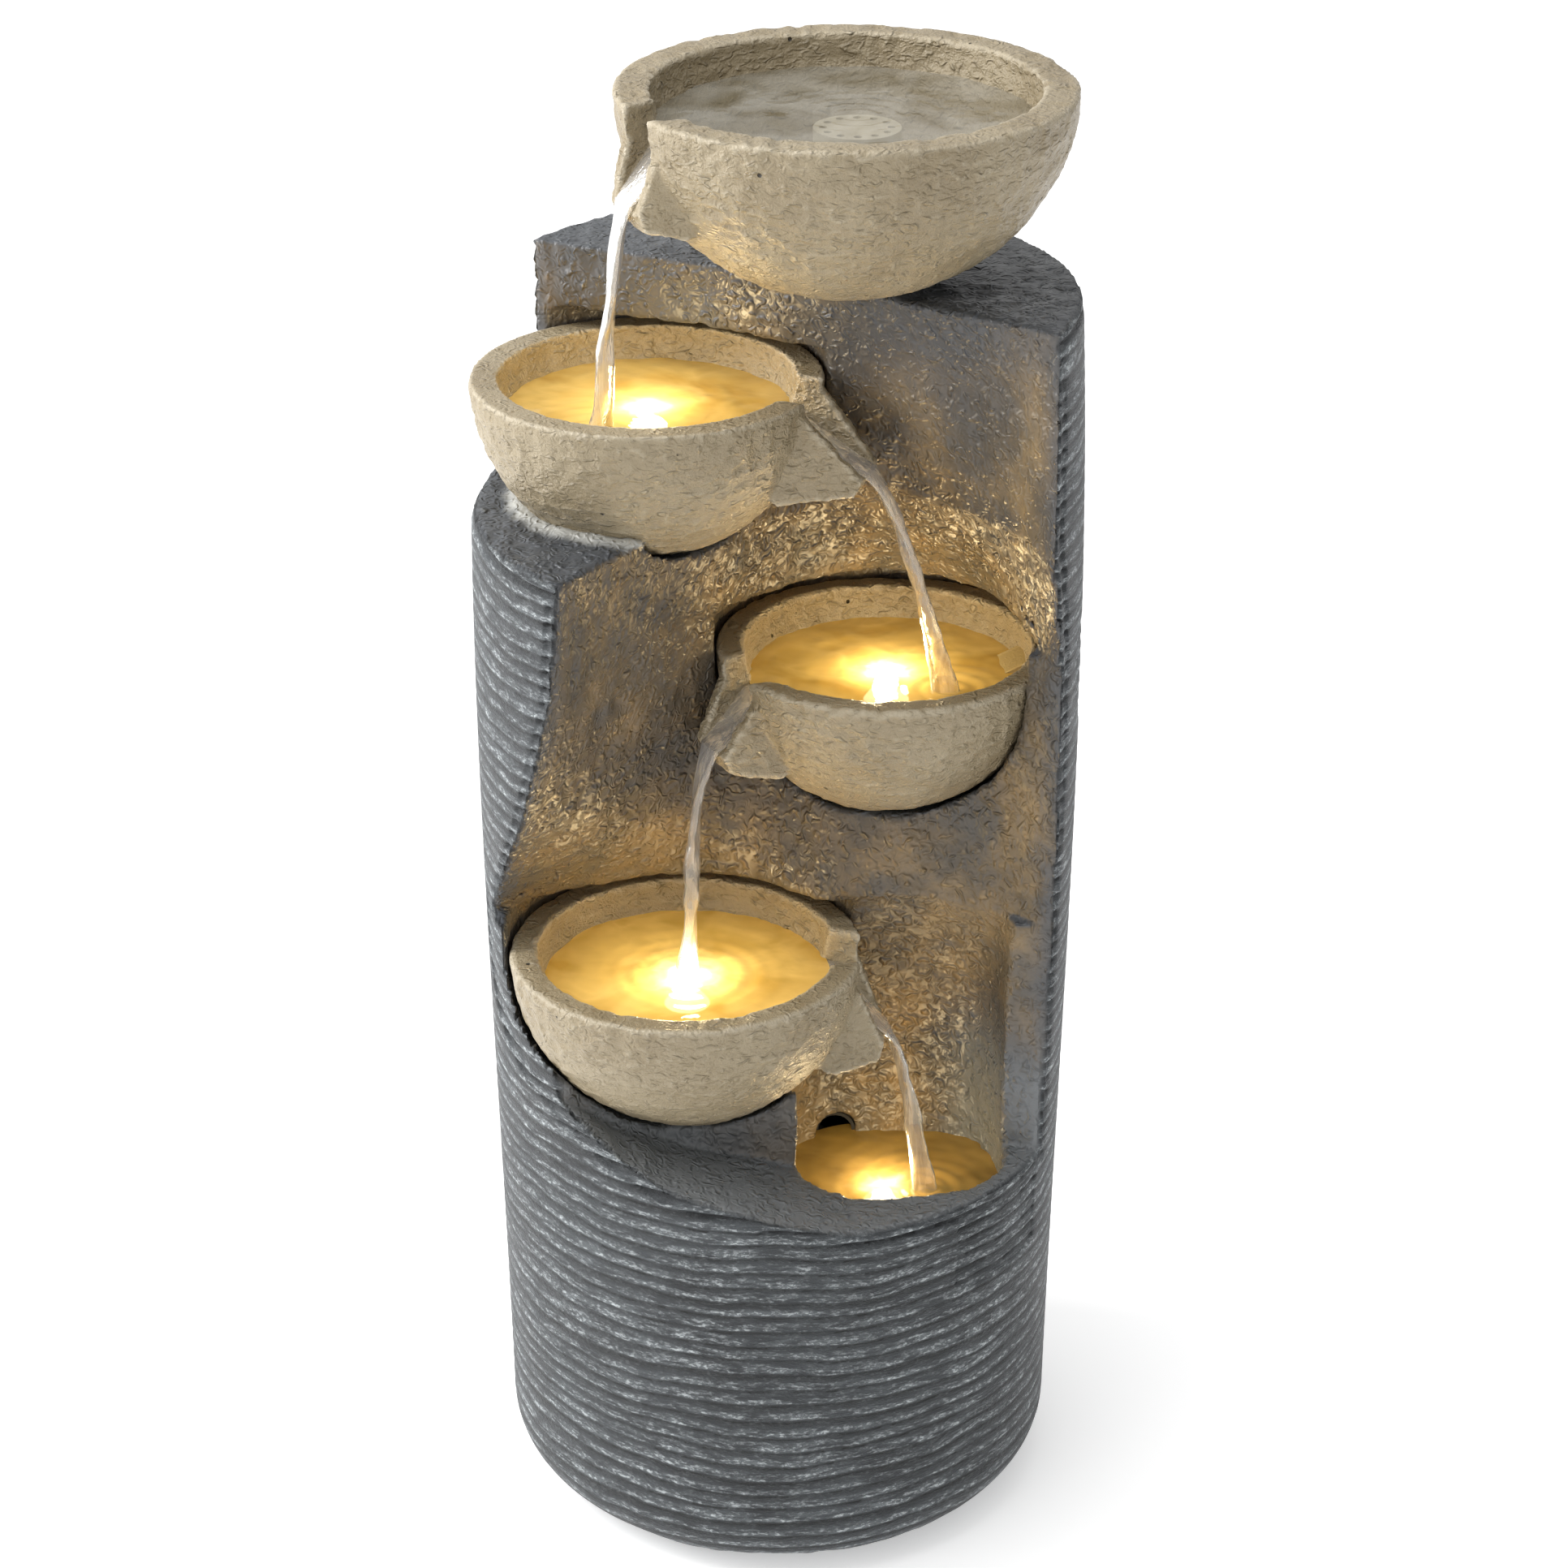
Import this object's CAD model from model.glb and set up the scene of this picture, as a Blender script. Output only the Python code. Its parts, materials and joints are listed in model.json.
"""Looks for the four-bowl water fountain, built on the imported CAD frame."""
import json
import math

import bmesh
import bpy
import numpy as np
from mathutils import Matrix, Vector
from mathutils.bvhtree import BVHTree


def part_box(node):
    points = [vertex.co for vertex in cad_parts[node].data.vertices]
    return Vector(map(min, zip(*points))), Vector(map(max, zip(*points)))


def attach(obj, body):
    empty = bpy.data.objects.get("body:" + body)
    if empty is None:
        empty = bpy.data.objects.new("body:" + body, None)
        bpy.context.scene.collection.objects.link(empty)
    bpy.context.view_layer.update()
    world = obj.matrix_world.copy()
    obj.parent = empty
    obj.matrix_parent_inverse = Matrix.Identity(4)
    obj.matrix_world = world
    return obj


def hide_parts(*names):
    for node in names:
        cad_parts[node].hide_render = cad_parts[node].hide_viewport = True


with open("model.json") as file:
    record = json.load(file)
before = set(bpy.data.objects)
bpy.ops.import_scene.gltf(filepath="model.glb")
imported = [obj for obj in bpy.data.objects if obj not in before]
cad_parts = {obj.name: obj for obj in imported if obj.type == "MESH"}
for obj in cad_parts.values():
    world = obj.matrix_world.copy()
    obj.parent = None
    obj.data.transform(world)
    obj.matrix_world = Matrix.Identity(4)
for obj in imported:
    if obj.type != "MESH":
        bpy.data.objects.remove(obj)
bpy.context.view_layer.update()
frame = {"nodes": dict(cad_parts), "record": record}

SCENE = bpy.context.scene
ROOT = "fountain"
RIB_PITCH = 0.0100
RIB_DEPTH = 0.0036
RIB_SKIN = 0.0030
COLUMN_VOXEL = 0.0023
DOOR_VOXEL = 0.0022
BOWL_VOXEL = 0.0016
WATER_DROP = 0.0185
BOWL_NAMES = ("one", "two", "three", "four")
# Directions from which a carved wall is open to the air
OPEN_WAYS = ((0, -1, 0.35), (0, -1, 1.2), (0.7, -1, 0.5), (-0.7, -1, 0.5), (0, -0.3, 1), (0, -1, -0.3))
COLUMN_NODES = ("column_foot_left", "column_foot_right", "column_cord_low", "column_cord_high", "column_back",
                "column_shelf", "column_basin", "column_middle", "column_top")

# Spout of each bowl: direction in degrees, reach of its lip from the bowl's axis,
# drop of the lip under the rim
SPOUTS = {"one": (206.0, 0.131, 0.051), "two": (-15.0, 0.127, 0.044),
          "three": (206.0, 0.111, 0.045), "four": (0.0, 0.113, 0.055)}


# ---------------------------------------------------------------- small tools

def lattice(x, y, z, seed):
    """A repeatable number from -1 to 1 for each whole-number corner."""
    mixed = (x * 374761393 + y * 668265263 + z * 1440662683 + seed * 974634777) & 0xFFFFFFFF
    mixed = ((mixed ^ (mixed >> 13)) * 1274126177) & 0xFFFFFFFF
    return ((mixed ^ (mixed >> 16)) & 0xFFFF) / 32767.5 - 1.0


def noise(points, cell, seed=0):
    """Smooth noise from -1 to 1 for each point, with features about one cell wide."""
    spot = np.asarray(points) / cell
    corner = np.floor(spot).astype(np.int64)
    part = spot - corner
    part = part * part * (3 - 2 * part)
    total = np.zeros(len(spot))
    for dx in (0, 1):
        for dy in (0, 1):
            for dz in (0, 1):
                weight = (np.abs(1 - dx - part[:, 0]) * np.abs(1 - dy - part[:, 1])
                          * np.abs(1 - dz - part[:, 2]))
                total += weight * lattice(corner[:, 0] + dx, corner[:, 1] + dy, corner[:, 2] + dz, seed)
    return total


def creases(points, cell, seed=0):
    """Noise with sharp raised wrinkles, from -1 to 1."""
    return 1 - 2.6 * np.abs(noise(points, cell, seed))


def read_points(mesh):
    flat = np.empty(len(mesh.vertices) * 3, np.float32)
    mesh.vertices.foreach_get("co", flat)
    return flat.reshape(-1, 3).astype(float)


def read_normals(mesh):
    flat = np.empty(len(mesh.vertices) * 3, np.float32)
    mesh.vertex_normals.foreach_get("vector", flat)
    return flat.reshape(-1, 3).astype(float)


def write_points(mesh, points):
    mesh.vertices.foreach_set("co", points.astype(np.float32).ravel())
    mesh.update()


def write_number(mesh, name, values):
    """A number on each vertex, for the materials."""
    layer = mesh.attributes.new(name, "FLOAT", "POINT")
    layer.data.foreach_set("value", np.asarray(values, np.float32))


def add_piece(name, mesh, material, body=ROOT, smooth=True):
    piece = bpy.data.objects.new(name, mesh)
    SCENE.collection.objects.link(piece)
    mesh.materials.clear()
    mesh.materials.append(material)
    if smooth:
        mesh.shade_smooth()
    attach(piece, body)
    return piece


def even_mesh(nodes, voxel):
    """The shape of one or more touching nodes in small even faces."""
    work = bpy.data.objects.new("work", bpy.data.meshes.new("work"))
    SCENE.collection.objects.link(work)
    welded = bmesh.new()
    for node in nodes:
        welded.from_mesh(frame["nodes"][node].data)
    bmesh.ops.remove_doubles(welded, verts=welded.verts, dist=1e-6)
    welded.to_mesh(work.data)
    welded.free()
    grid = work.modifiers.new("grid", "REMESH")
    grid.mode = "VOXEL"
    grid.voxel_size = voxel
    mesh = bpy.data.meshes.new_from_object(work.evaluated_get(bpy.context.evaluated_depsgraph_get()))
    bpy.data.objects.remove(work)
    return mesh


def node_tree(node):
    """A node's shape, ready for ray casts."""
    mesh = frame["nodes"][node].data
    return BVHTree.FromPolygons([v.co.copy() for v in mesh.vertices],
                                [tuple(f.vertices) for f in mesh.polygons])


def linear(red, green, blue):
    """Scene-linear colour from 0-255 display values."""
    return tuple(((c / 255 + 0.055) / 1.055) ** 2.4 if c > 10 else c / 255 / 12.92
                 for c in (red, green, blue)) + (1.0,)


# ---------------------------------------------------------------- materials

class Paint:
    """A node material round one Principled shader."""

    def __init__(self, name, **sockets):
        self.material = bpy.data.materials.new(name)
        self.material.use_nodes = True
        self.tree = self.material.node_tree
        self.shader = self.tree.nodes["Principled BSDF"]
        for key, value in sockets.items():
            self.shader.inputs[key.replace("_", " ")].default_value = value
        self.place = self.tree.nodes.new("ShaderNodeTexCoord").outputs["Object"]

    def put(self, socket, value):
        if isinstance(value, bpy.types.NodeSocket):
            self.tree.links.new(value, socket)
        else:
            socket.default_value = value

    def noise(self, size, detail=3.0, rough=0.55, stretch=None, kind="FBM", place=None, twist=0.0):
        """Noise from 0 to 1 with features of that size in metres."""
        place = place or self.place
        if stretch:
            scale = self.tree.nodes.new("ShaderNodeMapping")
            scale.inputs["Scale"].default_value = stretch
            self.tree.links.new(place, scale.inputs["Vector"])
            place = scale.outputs["Vector"]
        node = self.tree.nodes.new("ShaderNodeTexNoise")
        node.noise_type = kind
        self.tree.links.new(place, node.inputs["Vector"])
        node.inputs["Scale"].default_value = 1 / size
        node.inputs["Detail"].default_value = detail
        node.inputs["Roughness"].default_value = rough
        node.inputs["Distortion"].default_value = twist
        return node.outputs["Fac"]

    def pits(self, size, wide):
        """1 at scattered small pits, 0 elsewhere."""
        cells = self.tree.nodes.new("ShaderNodeTexVoronoi")
        self.tree.links.new(self.place, cells.inputs["Vector"])
        cells.inputs["Scale"].default_value = 1 / size
        return self.ramp(cells.outputs["Distance"], (wide, 1.0), (wide * 1.6, 0.0))

    def number(self, name):
        node = self.tree.nodes.new("ShaderNodeAttribute")
        node.attribute_name = name
        return node.outputs["Fac"]

    def ramp(self, value, *stops):
        """Numbers or colours against position."""
        node = self.tree.nodes.new("ShaderNodeValToRGB")
        self.tree.links.new(value, node.inputs["Fac"])
        band = node.color_ramp
        while len(band.elements) < len(stops):
            band.elements.new(1.0)
        for element, (position, colour) in zip(band.elements, stops):
            element.position = position
            element.color = colour if isinstance(colour, tuple) else (colour,) * 3 + (1.0,)
        return node.outputs["Color"]

    def sums(self, kind, first, second, clamp=False):
        node = self.tree.nodes.new("ShaderNodeMath")
        node.operation = kind
        node.use_clamp = clamp
        self.put(node.inputs[0], first)
        self.put(node.inputs[1], second)
        return node.outputs[0]

    def mix(self, factor, first, second, blend="MIX"):
        node = self.tree.nodes.new("ShaderNodeMix")
        node.data_type = "RGBA"
        node.blend_type = blend
        self.put(node.inputs[0], factor)
        self.put(node.inputs[6], first)
        self.put(node.inputs[7], second)
        return node.outputs[2]

    def worn(self, low=0.5, high=0.58):
        """0 in hollows to 1 on raised edges."""
        shape = self.tree.nodes.new("ShaderNodeNewGeometry")
        return self.ramp(shape.outputs["Pointiness"], (low, 0.0), (high, 1.0))

    def finish(self, colour=None, rough=None, height=None, depth=0.001, strength=1.0):
        if colour is not None:
            self.put(self.shader.inputs["Base Color"], colour)
        if rough is not None:
            self.put(self.shader.inputs["Roughness"], rough)
        if height is not None:
            bump = self.tree.nodes.new("ShaderNodeBump")
            bump.inputs["Distance"].default_value = depth
            bump.inputs["Strength"].default_value = strength
            self.tree.links.new(height, bump.inputs["Height"])
            self.tree.links.new(bump.outputs["Normal"], self.shader.inputs["Normal"])
        return self.material


def stone_material(name, base, light, dark, wrinkle=0.0058, depth=0.0042):
    """Crinkled, brushed cast stone with worn edges and small pits."""
    paint = Paint(name, Specular_IOR_Level=0.5)
    wrinkles = paint.noise(wrinkle, 2.0, 0.5, (1.0, 1.0, 1.7), "RIDGED_MULTIFRACTAL", twist=0.9)
    broad = paint.noise(0.06, 3.0, 0.55)
    fine = paint.noise(0.0014, 2.0, 0.6)
    colour = paint.mix(paint.ramp(broad, (0.3, 0.0), (0.6, 1.0)), dark, base)
    colour = paint.mix(paint.ramp(wrinkles, (0.2, 0.6), (0.6, 0.0)), colour, dark)
    colour = paint.mix(paint.ramp(wrinkles, (0.7, 0.0), (1.5, 0.6)), colour, light)
    colour = paint.mix(paint.sums("MULTIPLY", paint.worn(0.51, 0.6), 0.8), colour, light)
    pits = paint.pits(0.027, 0.03)
    colour = paint.mix(pits, colour, linear(45, 38, 28))
    height = paint.sums("ADD", paint.sums("MULTIPLY", wrinkles, 0.6), paint.sums("MULTIPLY", fine, 0.2))
    height = paint.sums("SUBTRACT", height, pits)
    rough = paint.ramp(broad, (0.2, 0.27), (0.8, 0.46))
    return paint.finish(colour, rough, height, depth)


def column_material():
    """Dry-brushed slate ribs outside, grey ledges and bronzed plaster on the carved walls."""
    paint = Paint("column_finish", Specular_IOR_Level=0.42)
    ribs = paint.number("rib")
    phase = paint.number("phase")
    crest = paint.number("crest")
    flow = paint.tree.nodes.new("ShaderNodeCombineXYZ")
    split = paint.tree.nodes.new("ShaderNodeSeparateXYZ")
    paint.tree.links.new(paint.place, split.inputs[0])
    paint.tree.links.new(split.outputs[0], flow.inputs[0])
    paint.tree.links.new(split.outputs[1], flow.inputs[1])
    paint.tree.links.new(phase, flow.inputs[2])
    along = flow.outputs[0]
    streak = paint.noise(0.016, 5.0, 0.7, (1.0, 1.0, 5.0), place=along)
    speck = paint.noise(0.0034, 3.0, 0.7, (1.0, 1.0, 2.2), place=along)
    patch = paint.noise(0.06, 4.0, 0.6)
    slate = paint.mix(paint.ramp(patch, (0.35, 0.0), (0.7, 1.0)), linear(44, 47, 50), linear(70, 74, 77))
    groove = paint.mix(paint.ramp(crest, (0.12, 1.0), (0.6, 0.0)), slate, linear(8, 9, 10))
    brushed = paint.sums("MULTIPLY", paint.ramp(streak, (0.42, 0.0), (0.6, 1.0)),
                         paint.ramp(crest, (0.5, 0.08), (0.85, 1.0)))
    specks = paint.sums("MULTIPLY", paint.ramp(speck, (0.5, 0.0), (0.6, 1.0)), brushed)
    ribbed = paint.mix(paint.sums("MULTIPLY", brushed, 0.6), groove, linear(132, 139, 142))
    ribbed = paint.mix(specks, ribbed, linear(198, 204, 206))
    wrinkles = paint.noise(0.0052, 3.0, 0.6, None, "RIDGED_MULTIFRACTAL", twist=0.8)
    clouds = paint.noise(0.055, 5.0, 0.62, twist=0.3)
    glow = paint.noise(0.04, 4.0, 0.65)
    wall = paint.ramp(clouds, (0.36, linear(114, 106, 94)), (0.48, linear(150, 131, 102)),
                      (0.58, linear(178, 152, 112)), (0.70, linear(204, 176, 130)))
    wall = paint.mix(paint.ramp(glow, (0.5, 0.0), (0.66, 0.6)), wall, linear(108, 108, 107))
    wall = paint.mix(paint.ramp(wrinkles, (0.15, 0.5), (0.5, 0.0)), wall, linear(58, 53, 46))
    wall = paint.mix(paint.ramp(wrinkles, (0.75, 0.0), (1.4, 0.8)), wall, linear(226, 214, 186))
    ledge = paint.mix(paint.ramp(wrinkles, (0.5, 0.0), (1.4, 0.9)), linear(78, 81, 85), linear(156, 158, 157))
    low_ledge = paint.ramp(wrinkles, (0.5, linear(112, 115, 117)), (1.4, linear(190, 194, 194)))
    ledge = paint.mix(paint.number("rim"), ledge, low_ledge)
    wall = paint.mix(paint.sums("MULTIPLY", paint.number("shade"), 0.62), wall, linear(62, 62, 62))
    wall = paint.mix(paint.number("grey"), wall, ledge)
    wall = paint.mix(paint.number("putty"), wall, linear(196, 196, 190))
    colour = paint.mix(ribs, wall, ribbed)
    rib_height = paint.sums("ADD", paint.sums("MULTIPLY", streak, 0.6), paint.sums("MULTIPLY", speck, 0.4))
    relief = paint.mix(ribs, paint.sums("MULTIPLY", wrinkles, 0.8), rib_height)
    rough = paint.mix(ribs, paint.ramp(patch, (0.3, 0.26), (0.75, 0.48)),
                      paint.ramp(patch, (0.3, 0.44), (0.75, 0.62)))
    return paint.finish(colour, rough, relief, 0.0042)


def moulded(name, tone, light, rough=0.45, grain=0.0012, depth=0.00012, **sockets):
    """Moulded plastic, rubber or metal with a fine grain and slight colour drift."""
    paint = Paint(name, **sockets)
    fine = paint.noise(grain, 3.0, 0.6)
    drift = paint.noise(0.02, 3.0, 0.5)
    colour = paint.mix(paint.ramp(drift, (0.3, 0.0), (0.75, 1.0)), tone, light)
    colour = paint.mix(paint.sums("MULTIPLY", paint.worn(0.52, 0.62), 0.4), colour, light)
    gloss = paint.ramp(paint.noise(0.008, 3.0, 0.6), (0.3, max(rough - 0.1, 0.05)),
                       (0.7, min(rough + 0.12, 1.0)))
    return paint.finish(colour, gloss, fine, depth)


def pool_material(name, tone, bright, glow, centre, reach, clarity, sparkle):
    """A shallow water surface, lit from a lamp below its centre."""
    paint = Paint(name, IOR=1.333, Roughness=0.04, Alpha=clarity, Specular_IOR_Level=0.6)
    ripple = paint.noise(0.034, 2.0, 0.45, twist=0.6)
    fine = paint.noise(0.012, 2.0, 0.5, twist=0.4)
    web = paint.ramp(ripple, (0.3, 0.1), (0.5, 0.55), (0.6, 0.75), (0.75, 0.45))
    colour = paint.mix(web, tone, bright)
    shift = paint.tree.nodes.new("ShaderNodeVectorMath")
    shift.operation = "DISTANCE"
    paint.tree.links.new(paint.place, shift.inputs[0])
    shift.inputs[1].default_value = centre
    far = paint.sums("ADD", paint.sums("DIVIDE", shift.outputs["Value"], reach),
                     paint.sums("MULTIPLY", paint.sums("SUBTRACT", fine, 0.5), 0.22))
    halo = paint.ramp(far, (0.0, linear(255, 252, 236)), (0.1, linear(255, 247, 212)),
                      (0.24, linear(250, 214, 128)), (0.5, linear(228, 180, 80)), (1.0, linear(200, 146, 52)))
    power = paint.ramp(far, (0.0, 1.0), (0.08, 0.5), (0.16, 0.14), (0.4, 0.055), (1.0, 0.03))
    light = paint.mix(1.0, halo, paint.ramp(web, (0.0, 0.75), (1.0, 1.0)), "MULTIPLY")
    paint.put(paint.shader.inputs["Emission Color"], light)
    paint.put(paint.shader.inputs["Emission Strength"], paint.sums("MULTIPLY", power, glow))
    height = paint.sums("ADD", ripple, paint.sums("MULTIPLY", fine, 0.3))
    return paint.finish(colour, None, height, sparkle)


def stream_material():
    """Clear falling water with a faint golden light in it."""
    paint = Paint("falling_water", IOR=1.333, Roughness=0.05, Transmission_Weight=0.82,
                  Base_Color=(0.95, 0.93, 0.89, 1.0), Specular_IOR_Level=0.8)
    strands = paint.noise(0.006, 3.0, 0.6, (1.0, 1.0, 0.14), twist=0.4)
    glow = paint.ramp(strands, (0.5, (0.0, 0.0, 0.0, 1.0)), (0.72, linear(232, 205, 160)))
    paint.put(paint.shader.inputs["Emission Color"], glow)
    paint.shader.inputs["Emission Strength"].default_value = 0.22
    return paint.finish(None, None, strands, 0.0016)


# ---------------------------------------------------------------- sizes read from the frame

def measure_bowl(name):
    """Centre at rim height and radius of a bowl, from its node's box."""
    low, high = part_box("bowl_" + name)
    radius = (high.y - low.y) / 2
    left_side = name in ("two", "four")
    x = low.x + radius if left_side else high.x - radius
    return Vector((x, (high.y + low.y) / 2, high.z)), radius


BOWL_FACTS = {name: measure_bowl(name) for name in BOWL_NAMES}
BOWL_DEPTHS = {"one": 0.113, "two": 0.099, "three": 0.096, "four": 0.101}


def outer_at(name, level):
    """A bowl's outer radius at a height, from its quarter-ellipse side."""
    centre, radius = BOWL_FACTS[name]
    return radius * math.sqrt(max(0.0, 1 - ((centre.z - level) / BOWL_DEPTHS[name]) ** 2))


# ---------------------------------------------------------------- column

def rib_phase(points):
    """Height along the wandering ribs, in metres."""
    stretched = points * (1.0, 1.0, 1.8)
    return (points[:, 2] + 0.0050 * noise(stretched, 0.11, 3) + 0.0026 * noise(stretched, 0.045, 4)
            + 0.0009 * noise(points, 0.015, 5))


def rib_relief(points, phase):
    """0 in the grooves to 1 on the crests: each rib juts out at its foot over the groove below it."""
    turn = phase / RIB_PITCH
    level = np.floor(turn)
    part = turn - level
    whole = level.astype(np.int64)
    lean = 0.24 + 0.06 * lattice(whole, whole * 7, whole * 3, 9)
    rise = np.clip(part / lean, 0, 1)
    back = 0.62 + 0.18 * lattice(whole, whole * 5, whole * 2, 8)
    slope = 1 - back * np.clip((part - lean) / (1 - lean), 0, 1)
    return np.minimum(rise, slope) * (0.88 + 0.12 * noise(points, 0.02, 6))


def outer_radius(points):
    """The column's full radius at each point's height."""
    radius = np.hypot(points[:, 0], points[:, 1])
    edges = np.arange(0.0, points[:, 2].max() + 0.009, 0.004)
    slot = np.clip(np.digitize(points[:, 2], edges), 1, len(edges) - 1)
    best = np.zeros(len(edges))
    np.maximum.at(best, slot, radius)
    known = best > 0.05
    return np.interp(points[:, 2], edges[known] - 0.002, best[known])


def by_bowls(points):
    """1 where the column meets a bowl, falling to 0 some way off."""
    best = np.zeros(len(points))
    for name, (centre, radius) in BOWL_FACTS.items():
        flat = np.hypot(points[:, 0] - centre.x, points[:, 1] - centre.y) / radius
        tall = np.minimum(points[:, 2] - centre.z, 0) / BOWL_DEPTHS[name]
        above = np.clip((points[:, 2] - centre.z) / 0.03, 0, 1)
        gone = (np.hypot(flat, tall) - 1) * radius + 0.03 * above
        best = np.maximum(best, np.clip(1 - gone / 0.034, 0, 1))
    return best


def mortar(points, normals, name, level, start, end, reach):
    """How much mortar lies on a ledge round a bowl's foot, 0 to 1."""
    centre = BOWL_FACTS[name][0]
    x, y = points[:, 0] - centre.x, points[:, 1] - centre.y
    near = np.clip(1 - (np.hypot(x, y) - outer_at(name, level)) / reach, 0, 1)
    turn = (np.degrees(np.arctan2(y, x)) - start) % 360
    span = (end - start) % 360
    window = np.clip(turn / 14, 0, 1) * np.clip((span - turn) / 14, 0, 1)
    level_top = (np.abs(points[:, 2] - level) < 0.006) & (normals[:, 2] > 0.5)
    return near * window * level_top


def thin_wall(points, normals, tree, chosen):
    """0 where the wall behind a point is too thin to carve, 1 where it is thick."""
    room = np.ones(len(points))
    for index in np.nonzero(chosen)[0]:
        spot, into = Vector(points[index]), -Vector(normals[index])
        hit = tree.ray_cast(spot + into * 0.0006, into, 0.012)
        if hit[0] is not None:
            room[index] = min(1.0, max(0.0, (hit[3] - 0.006) / 0.006))
    return room


def open_walls(points, normals, tree, chosen):
    """1 at each chosen point that is open to the front or the top, 0 elsewhere."""
    carved = np.zeros(len(points))
    looks = [Vector(way).normalized() for way in OPEN_WAYS]
    for index in np.nonzero(chosen)[0]:
        spot, out = Vector(points[index]), Vector(normals[index])
        start = spot + out * 0.002
        if any(out.dot(look) > -0.2 and tree.ray_cast(start, look)[0] is None for look in looks):
            carved[index] = 1.0
    return carved


def split_upright(mesh, mask):
    """Halve the upright edges of the masked area, so that the ribs keep their shape."""
    fine = bmesh.new()
    fine.from_mesh(mesh)
    fine.verts.ensure_lookup_table()
    edges = []
    for edge in fine.edges:
        first, second = edge.verts
        if mask[first.index] and mask[second.index]:
            run = first.co - second.co
            if abs(run.z) > 0.6 * run.length:
                edges.append(edge)
    bmesh.ops.subdivide_edges(fine, edges=edges, cuts=1, use_grid_fill=False)
    fine.to_mesh(mesh)
    fine.free()


def ribbed_piece(nodes, name, material, voxel, body, back_only=False):
    """The outer skin ribbed and the carved walls crinkled."""
    mesh = even_mesh(nodes, voxel)
    points = read_points(mesh)
    gap = outer_radius(points) - np.hypot(points[:, 0], points[:, 1])
    split_upright(mesh, gap < 0.0012)
    points = read_points(mesh)
    normals = read_normals(mesh)
    radius = np.hypot(points[:, 0], points[:, 1])
    gap = outer_radius(points) - radius
    outward = (points[:, 0] * normals[:, 0] + points[:, 1] * normals[:, 1]) / np.maximum(radius, 1e-6)
    ribs = np.clip((RIB_SKIN - gap) / 0.0014, 0, 1) * np.clip((outward - 0.05) / 0.25, 0, 1)
    phase = rib_phase(points)
    crest = rib_relief(points, phase)
    depth = RIB_DEPTH * (0.85 + 0.3 * noise(points, 0.05, 7))
    tree = BVHTree.FromPolygons([tuple(p) for p in points], [tuple(f.vertices) for f in mesh.polygons])
    shift = -ribs * depth * (1 - crest) * thin_wall(points, normals, tree, ribs > 0)
    carved = np.zeros(len(points))
    putty = np.zeros(len(points))
    if not back_only:
        putty = mortar(points, normals, "two", LEDGE_TWO, 165, 285, 0.014)
        lumps = mortar(points, normals, "one", LEDGE_ONE, -70, 100, 0.016)
        carved = open_walls(points, normals, tree, ribs < 0.99)
    crinkle = (0.0005 * creases(points, 0.014, 11) + 0.0006 * creases(points, 0.0085, 12)
               + 0.0012 * noise(points, 0.05, 13))
    shift += (1 - ribs) * carved * crinkle
    if not back_only:
        shift += 0.0065 * putty ** 1.6 + 0.0060 * lumps ** 0.8 * (0.7 + 0.5 * noise(points, 0.011, 14))
    write_points(mesh, points + normals * shift[:, None])
    flat = np.clip((normals[:, 2] - 0.35) / 0.3, 0, 1)
    near_edge = np.clip((0.016 - gap) / 0.012, 0, 1)
    low_rim = np.clip((0.33 - points[:, 2]) / 0.05, 0, 1) * np.clip((0.085 - gap) / 0.03, 0, 1)
    write_number(mesh, "rib", ribs)
    write_number(mesh, "phase", phase)
    write_number(mesh, "crest", crest)
    write_number(mesh, "rim", low_rim)
    write_number(mesh, "shade", by_bowls(points) * (0.75 + 0.35 * noise(points, 0.02, 16)))
    write_number(mesh, "putty", np.clip(2.2 * putty + 0.3 * noise(points, 0.008, 15) * (putty > 0), 0, 1))
    under_top = 0.75 * np.clip((points[:, 2] - 0.672 + 0.02 * noise(points, 0.05, 17)) / 0.04, 0, 1)
    write_number(mesh, "grey", np.clip(np.maximum.reduce([flat, 0.8 * near_edge, low_rim, under_top]), 0, 1))
    piece = add_piece(name, mesh, material, body)
    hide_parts(*nodes)


LEDGE_ONE = 0.737
LEDGE_TWO = 0.614
COLUMN = column_material()
ribbed_piece(COLUMN_NODES, "carved_column", COLUMN, COLUMN_VOXEL, ROOT)
ribbed_piece(("access_door",), "ribbed_door", COLUMN, DOOR_VOXEL, "door", True)


# ---------------------------------------------------------------- bowls

BOWL = stone_material("bowl_finish", linear(180, 167, 140), linear(218, 208, 186), linear(142, 127, 99))


def build_bowl(name):
    centre = BOWL_FACTS[name][0]
    mesh = even_mesh(("bowl_" + name,), BOWL_VOXEL)
    points = read_points(mesh)
    normals = read_normals(mesh)
    away = np.clip((centre.z - 0.0006 - points[:, 2]) / 0.004, 0, 1)
    shift = (0.0007 * noise(points, 0.035, 21) + 0.0006 * creases(points * (1, 1, 1.6), 0.011, 22)
             + 0.0004 * creases(points * (1, 1, 1.4), 0.0062, 23))
    lift = np.minimum(shift, 0.0002 + 0.001 * away)
    write_points(mesh, points + normals * lift[:, None])
    piece = add_piece("stone_bowl_" + name, mesh, BOWL)
    soften = piece.modifiers.new("soften", "SMOOTH")
    soften.factor = 0.4
    soften.iterations = 1
    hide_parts("bowl_" + name)


for bowl in BOWL_NAMES:
    build_bowl(bowl)


# ---------------------------------------------------------------- water

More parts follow.
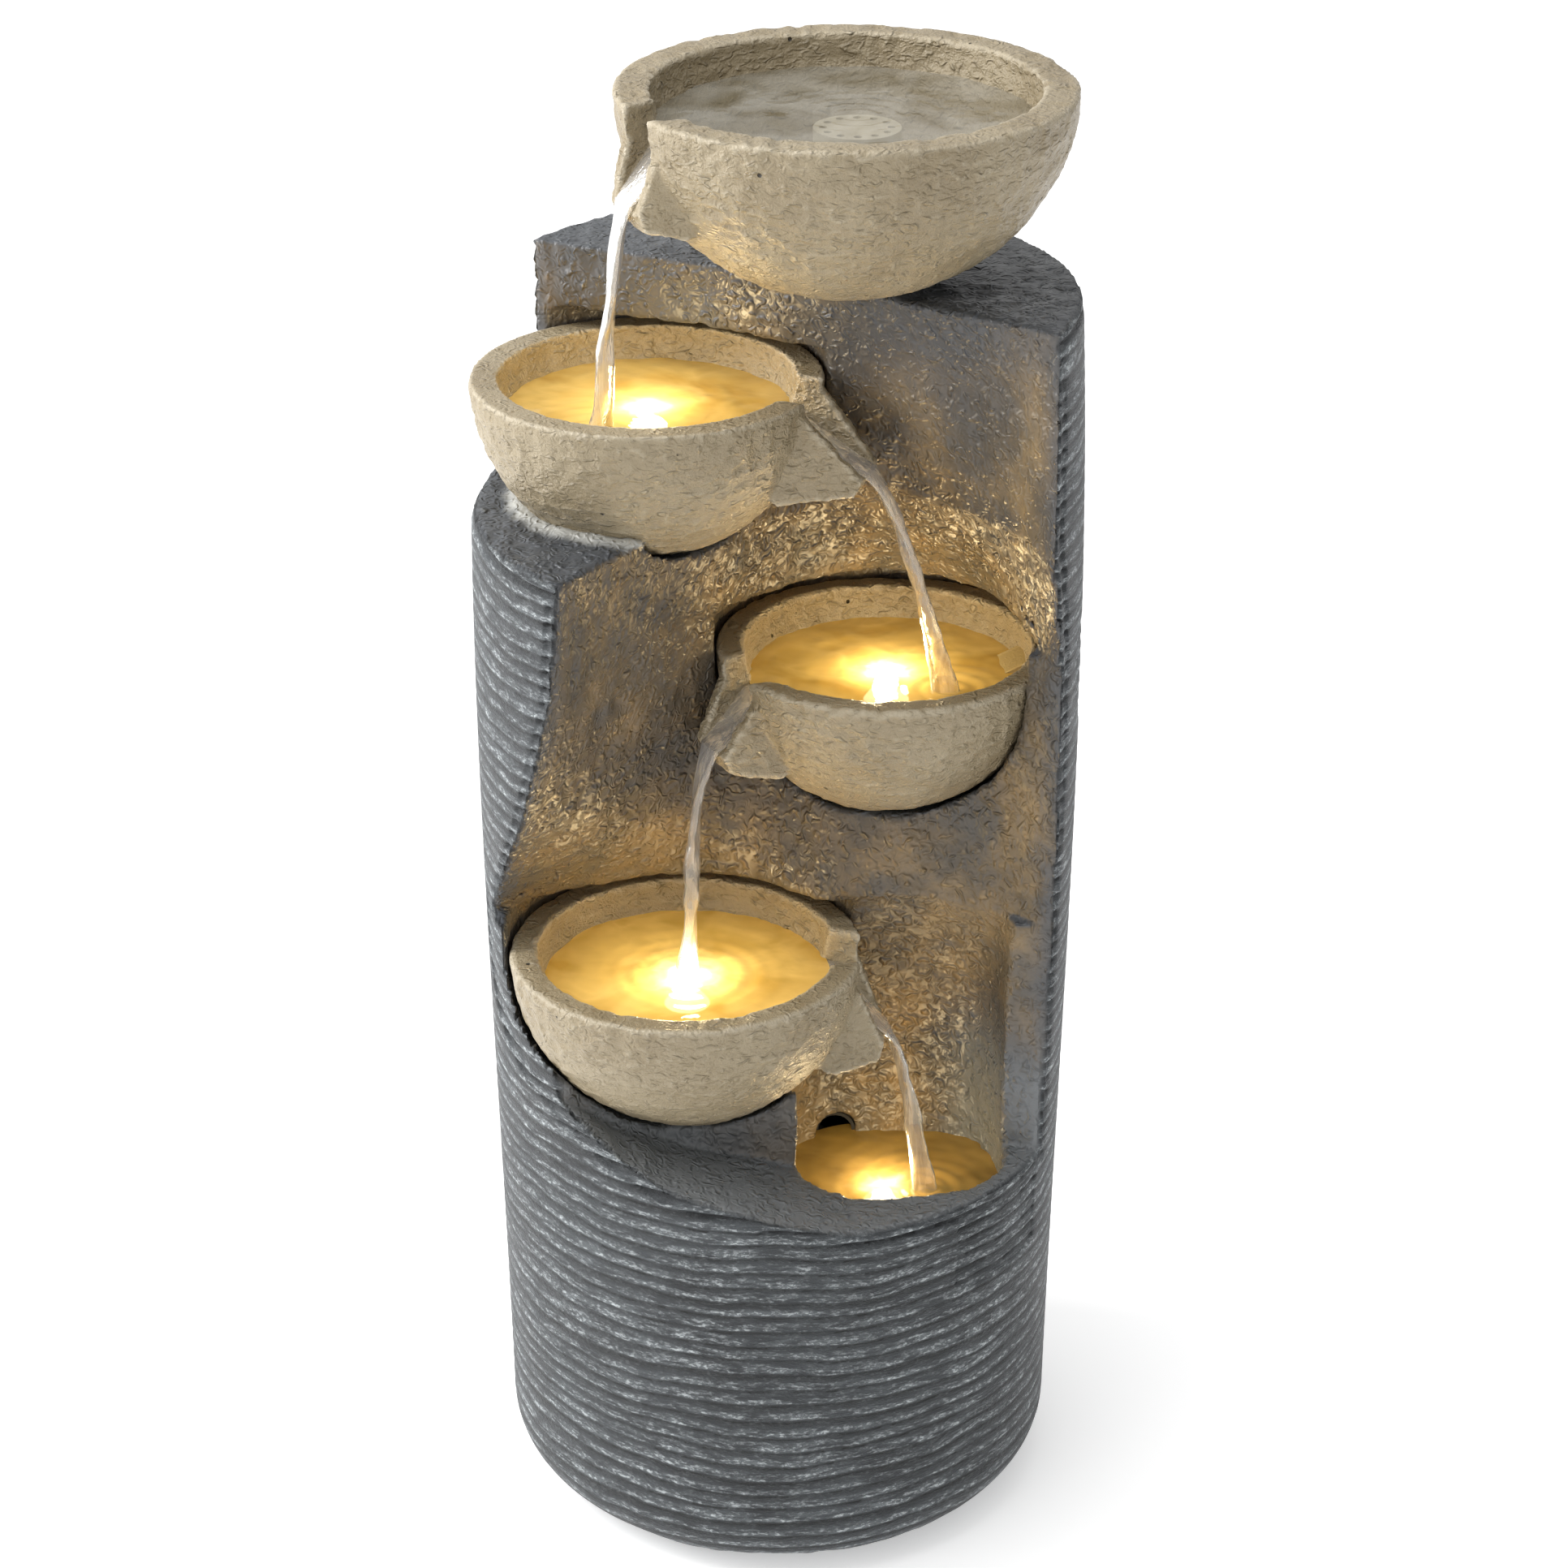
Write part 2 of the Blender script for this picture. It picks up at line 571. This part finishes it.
def inner_radius(name, level):
    """Radius of a bowl's inside at a height, measured on the node's mesh away from the spout."""
    centre = BOWL_FACTS[name][0]
    tree = node_tree("bowl_" + name)
    start = Vector((centre.x, centre.y, level))
    hit = tree.ray_cast(start, Vector((0, 1, 0)))[0]
    return hit.y - centre.y


def ripples(points, spots):
    """Rings round each place where water falls in."""
    lift = np.zeros(len(points))
    for x, y, strength in spots:
        far = np.hypot(points[:, 0] - x, points[:, 1] - y)
        lift += strength * np.cos(far / 0.0105 * 2 * math.pi) * np.exp(-far / 0.022)
    return lift + 0.0005 * noise(points, 0.017, 31) + 0.0003 * noise(points, 0.008, 32)


def pool_mesh(outline, centre, level, spots, rings=44):
    """A rippled surface inside an outline given as radius by angle."""
    count = len(outline)
    angles = np.arange(count) * 2 * math.pi / count
    steps = (np.arange(1, rings + 1) / rings)[:, None]
    x = centre[0] + steps * outline * np.cos(angles)
    y = centre[1] + steps * outline * np.sin(angles)
    points = np.column_stack([x.ravel(), y.ravel(), np.full(x.size, level)])
    points = np.vstack([[centre[0], centre[1], level], points])
    points[:, 2] += ripples(points, spots)
    faces = []
    for ring in range(rings):
        for turn in range(count):
            after = (turn + 1) % count
            if ring == 0:
                faces.append((0, 1 + turn, 1 + after))
            else:
                base = 1 + (ring - 1) * count
                faces.append((base + turn, base + count + turn, base + count + after, base + after))
    mesh = bpy.data.meshes.new("pool")
    mesh.from_pydata([tuple(p) for p in points], [], faces)
    mesh.update()
    return mesh


def measure_lamp(name):
    """The middle of the top of a lamp's lens."""
    low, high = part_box("lamp_lens_" + name)
    return Vector(((low.x + high.x) / 2, (low.y + high.y) / 2, high.z))


LAMPS = {name: measure_lamp(name) for name in ("two", "three", "four", "basin")}


POOL_LEVEL = {name: BOWL_FACTS[name][0].z - WATER_DROP for name in BOWL_NAMES}
BASIN_LEVEL = LAMPS["basin"].z + 0.009

# Where each stream lands, from the centre of the pool below it
LANDING = {"one": (-0.025, -0.045), "two": (0.034, -0.025), "three": (0.001, 0.002), "four": (0.024, -0.005)}
POOL_BELOW = {"one": "two", "two": "three", "three": "four", "four": "basin"}


def landing(name):
    below = POOL_BELOW[name]
    if below == "basin":
        centre, level = LAMPS["basin"], BASIN_LEVEL
    else:
        centre, level = BOWL_FACTS[below][0], POOL_LEVEL[below]
    return Vector((centre.x + LANDING[name][0], centre.y + LANDING[name][1], level))


def stream_path(name):
    """Centre line, half width and half thickness, from inside a bowl to the pool below."""
    turn, reach, drop = SPOUTS[name]
    centre, radius = BOWL_FACTS[name]
    ahead = Vector((math.cos(math.radians(turn)), math.sin(math.radians(turn)), 0))
    wall = 0.0155 * radius / 0.1
    sill = radius - wall - 0.002
    rim = centre.z
    fall = (drop + 0.006 - 0.022) / (reach + 0.008 - sill)
    base = Vector((centre.x, centre.y, 0))
    line, wide, thick = [], [], []
    for step in np.linspace(0, 1, 8):
        s = sill - 0.022 + 0.02 * step
        line.append(base + ahead * s + Vector((0, 0, rim - WATER_DROP - 0.0042 + 0.0020 * step)))
        wide.append(0.0218)
        thick.append(0.0016)
    for step in np.linspace(0, 1, 22)[1:]:
        s = sill + (reach - sill) * step
        line.append(base + ahead * s + Vector((0, 0, rim - 0.0205 - fall * (s - sill) + 0.0004)))
        wide.append(0.0215 - 0.0115 * step ** 0.8)
        thick.append(0.0018)
    lip = line[-1]
    end = landing(name)
    gone = end - lip
    gone.z = 0
    forward = ahead * max(gone.dot(ahead), 0.006)
    aside = gone - forward
    height = lip.z - end.z + 0.006
    for step in np.linspace(0, 1, 110)[1:]:
        spot = lip + forward * step + aside * step * step
        spot.z = lip.z - height * (0.30 * step + 0.70 * step * step)
        line.append(spot)
        wide.append(0.0056 + 0.0054 * math.exp(-step / 0.25) + 0.0020 * max(0.0, step - 0.86) / 0.14)
        thick.append(0.0026 + 0.0012 * step)
    return line, wide, thick, ahead, lip


def stream_piece(name, seed):
    line, wide, thick, ahead, lip = stream_path(name)
    around = 20
    side = Vector((-ahead.y, ahead.x, 0))
    rows = []
    for index, spot in enumerate(line):
        before = line[max(index - 1, 0)]
        after = line[min(index + 1, len(line) - 1)]
        run = (after - before).normalized()
        across = (side - run * side.dot(run)).normalized()
        upward = across.cross(run)
        free = max(0.0, (lip.z - spot.z) / max(lip.z - line[-1].z, 1e-6))
        twist = 1.9 * free * (1 if seed % 2 else -1)
        first = across * math.cos(twist) + upward * math.sin(twist)
        second = upward * math.cos(twist) - across * math.sin(twist)
        for turn in range(around):
            angle = 2 * math.pi * turn / around
            bead = 1 + 0.35 * free ** 0.3 * math.cos(2 * angle + 9 * free + seed)
            rows.append(spot + first * wide[index] * math.cos(angle)
                        + second * thick[index] * math.sin(angle) * bead)
    points = np.array([tuple(p) for p in rows])
    level = np.repeat([max(0.0, lip.z - p.z) for p in line], around)
    sway = np.clip(level / 0.03, 0, 1) * 0.0016
    for axis in (0, 1):
        points[:, axis] += sway * noise(points * (1, 1, 0.32), 0.011, seed + axis)
        points[:, axis] += 0.5 * sway * noise(points * (1, 1, 0.6), 0.005, seed + 4 + axis)
    faces = []
    for row in range(len(line) - 1):
        for turn in range(around):
            after = (turn + 1) % around
            faces.append((row * around + turn, row * around + after,
                          (row + 1) * around + after, (row + 1) * around + turn))
    faces.append(tuple(range(around))[::-1])
    faces.append(tuple((len(line) - 1) * around + turn for turn in range(around)))
    mesh = bpy.data.meshes.new("stream_" + name)
    mesh.from_pydata([tuple(p) for p in points], [], faces)
    mesh.update()
    return add_piece("stream_" + name, mesh, STREAM)


STREAM = stream_material()
for order, bowl in enumerate(BOWL_NAMES):
    stream_piece(bowl, 40 + 7 * order)


def build_pool(name, material, spots):
    centre = BOWL_FACTS[name][0]
    level = POOL_LEVEL[name]
    outline = np.full(160, inner_radius(name, level) + 0.0012)
    add_piece("pool_" + name, pool_mesh(outline, (centre.x, centre.y), level, spots), material)


def spot_of(name, strength):
    place = landing(name)
    return (place.x, place.y, strength)


one_centre = BOWL_FACTS["one"][0]
cap_low, cap_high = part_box("spray_cap")
cap_spot = ((cap_low.x + cap_high.x) / 2, (cap_low.y + cap_high.y) / 2)
build_pool("one", pool_material("pool_top_water", linear(120, 112, 88), linear(205, 202, 190), 0.0,
                                (one_centre.x, one_centre.y, POOL_LEVEL["one"]), 0.09, 0.42, 0.0011),
           [cap_spot + (0.0007,)])
GLOWS = {"two": 3.5, "three": 5.0, "four": 11.0, "basin": 2.0}
for above, bowl in (("one", "two"), ("two", "three"), ("three", "four")):
    lamp = LAMPS[bowl]
    water = pool_material("pool_%s_water" % bowl, linear(190, 148, 62), linear(240, 208, 126), GLOWS[bowl],
                          (lamp.x, lamp.y, POOL_LEVEL[bowl]), 0.085, 0.86, 0.0012)
    build_pool(bowl, water, [spot_of(above, 0.0010)])

basin_lamp = LAMPS["basin"]


def basin_outline(count=160):
    """Radius of the basin's wall round its lamp, measured on the column's mesh."""
    tree = node_tree("column_basin")
    start = Vector((basin_lamp.x, basin_lamp.y, BASIN_LEVEL))
    radii = []
    for turn in range(count):
        angle = 2 * math.pi * turn / count
        hit = tree.ray_cast(start, Vector((math.cos(angle), math.sin(angle), 0)))[0]
        radii.append((hit - start).length if hit and (hit - start).length < 0.09 else 0.07)
    return np.array(radii) + 0.002


add_piece("pool_basin", pool_mesh(basin_outline(), (basin_lamp.x, basin_lamp.y), BASIN_LEVEL,
                                  [spot_of("four", 0.0010)]),
          pool_material("pool_basin_water", linear(112, 86, 40), linear(184, 148, 76), GLOWS["basin"],
                        (basin_lamp.x, basin_lamp.y, BASIN_LEVEL), 0.085, 0.9, 0.0012))


# ---------------------------------------------------------------- hardware

FINISHES = {
    "plate_resin": stone_material("plate_finish", linear(98, 101, 104), linear(140, 144, 146),
                                  linear(66, 69, 72)),
    "cover_resin": stone_material("cover_finish", linear(172, 150, 98), linear(205, 184, 132),
                                  linear(122, 100, 56), 0.0035, 0.0006),
    "seal_foam": moulded("seal_finish", linear(28, 28, 29), linear(44, 44, 45), 0.9, 0.0008, 0.0003),
    "frame_plastic": moulded("frame_finish", linear(32, 33, 35), linear(58, 59, 61), 0.5),
    "tub_plastic": moulded("tub_finish", linear(26, 27, 28), linear(46, 47, 49), 0.38),
    "sleeve_rubber": moulded("sleeve_finish", linear(22, 22, 23), linear(40, 40, 41), 0.75),
    "pump_plastic": moulded("pump_finish", linear(20, 21, 24), linear(42, 43, 47), 0.34),
    "impeller_plastic": moulded("impeller_finish", linear(196, 198, 200), linear(226, 228, 230), 0.35),
    "strainer_plastic": moulded("strainer_finish", linear(24, 25, 27), linear(48, 49, 52), 0.42),
    "dial_plastic": moulded("dial_finish", linear(158, 40, 32), linear(192, 74, 60), 0.4),
    "foot_rubber": moulded("foot_finish", linear(24, 24, 25), linear(44, 44, 45), 0.85),
    "hose_vinyl": moulded("hose_finish", linear(188, 192, 190), linear(222, 226, 224), 0.22, Coat_Weight=0.4),
    "fitting_plastic": moulded("fitting_finish", linear(26, 27, 28), linear(50, 51, 53), 0.4),
    "clamp_steel": moulded("clamp_finish", linear(176, 178, 180), linear(216, 218, 220), 0.28, Metallic=1.0),
    "cap_plastic": moulded("cap_finish", linear(172, 160, 136), linear(196, 186, 162), 0.5),
    "lamp_plastic": moulded("lamp_finish", linear(24, 25, 26), linear(46, 47, 49), 0.36),
    "nut_plastic": moulded("nut_finish", linear(30, 31, 32), linear(56, 57, 59), 0.46),
    "splitter_plastic": moulded("splitter_finish", linear(22, 23, 24), linear(44, 45, 47), 0.5),
    "lead_cable": moulded("lead_finish", linear(20, 20, 21), linear(40, 40, 42), 0.55),
    "gland_rubber": moulded("gland_finish", linear(22, 22, 23), linear(42, 42, 43), 0.8),
}


def lens_material():
    paint = Paint("lens_finish", Roughness=0.15)
    facets = paint.noise(0.003, 2.0, 0.5)
    colour = paint.mix(facets, linear(250, 224, 160), linear(255, 246, 220))
    paint.put(paint.shader.inputs["Emission Color"], colour)
    paint.shader.inputs["Emission Strength"].default_value = 4.0
    return paint.finish(colour, None, facets, 0.0003)


FINISHES["lamp_lens"] = lens_material()
for part in frame["record"]["subparts"]:
    finish = FINISHES.get(part["material_slot"])
    if finish:
        node = frame["nodes"][part["node"]]
        if node.material_slots:
            for slot in node.material_slots:
                slot.link = "OBJECT"
                slot.material = finish
        else:
            node.data.materials.append(finish)


# ---------------------------------------------------------------- room, lights and camera

floor_mesh = bpy.data.meshes.new("floor")
floor_mesh.from_pydata([(-8, -8, 0), (8, -8, 0), (8, 8, 0), (-8, 8, 0)], [], [(0, 1, 2, 3)])
ground = bpy.data.objects.new("floor", floor_mesh)
SCENE.collection.objects.link(ground)
floor_paint = Paint("floor_paint", Roughness=0.9, Emission_Color=(1.0, 1.0, 1.0, 1.0), Emission_Strength=0.35)
floor_mesh.materials.append(floor_paint.finish(
    floor_paint.mix(floor_paint.noise(1.5), (0.93, 0.93, 0.93, 1), (0.95, 0.95, 0.95, 1))))

room = bpy.data.worlds.new("room")
room.use_nodes = True
sky = room.node_tree.nodes["Background"]
sky.inputs["Color"].default_value = (1.0, 1.0, 1.0, 1.0)
aim = room.node_tree.nodes.new("ShaderNodeTexCoord")
lean = room.node_tree.nodes.new("ShaderNodeVectorMath")
lean.operation = "DOT_PRODUCT"
lean.inputs[1].default_value = Vector((-0.80, 0.05, 0.60)).normalized()
span = room.node_tree.nodes.new("ShaderNodeMapRange")
span.inputs["From Min"].default_value = -0.4
span.inputs["To Min"].default_value = 0.34
span.inputs["To Max"].default_value = 1.25
room.node_tree.links.new(aim.outputs["Generated"], lean.inputs[0])
room.node_tree.links.new(lean.outputs["Value"], span.inputs["Value"])
room.node_tree.links.new(span.outputs["Result"], sky.inputs["Strength"])
SCENE.world = room


def area_light(name, place, target, size, power, colour=(1.0, 1.0, 1.0)):
    data = bpy.data.lights.new(name, "AREA")
    data.shape = "RECTANGLE"
    data.size, data.size_y = size
    data.energy = power
    data.color = colour
    lamp = bpy.data.objects.new(name, data)
    SCENE.collection.objects.link(lamp)
    lamp.location = place
    lamp.rotation_euler = (Vector(target) - Vector(place)).to_track_quat("-Z", "Y").to_euler()


def glow_light(name, place, size, power, colour=(1.0, 0.79, 0.45)):
    data = bpy.data.lights.new(name, "POINT")
    data.shadow_soft_size = size
    data.energy = power
    data.color = colour
    lamp = bpy.data.objects.new(name, data)
    SCENE.collection.objects.link(lamp)
    lamp.location = place


area_light("key_left", (-2.0, 0.2, 1.3), (0, 0, 0.4), (0.8, 1.6), 37)
area_light("top_soft", (-0.5, -0.3, 2.4), (0, 0, 0.4), (1.2, 1.2), 12)
area_light("edge_right", (1.8, 0.9, 0.9), (0, 0, 0.4), (0.4, 1.6), 1.0)
for bowl, power in (("two", 0.17), ("three", 0.20), ("four", 0.27)):
    lamp = LAMPS[bowl]
    glow_light("glow_" + bowl, (lamp.x, lamp.y, POOL_LEVEL[bowl] + 0.012), 0.010, power)
glow_light("glow_basin", (basin_lamp.x, basin_lamp.y, BASIN_LEVEL + 0.012), 0.010, 0.16)

view = bpy.data.cameras.new("view")
view.sensor_width = 36.0
view.lens = 91.57
eye = bpy.data.objects.new("view", view)
SCENE.collection.objects.link(eye)
eye.location = (0.0035, -2.0653, 1.4339)
eye.rotation_euler = (math.radians(64.3), 0.0, 0.0)
SCENE.camera = eye
SCENE.view_settings.view_transform = "Standard"
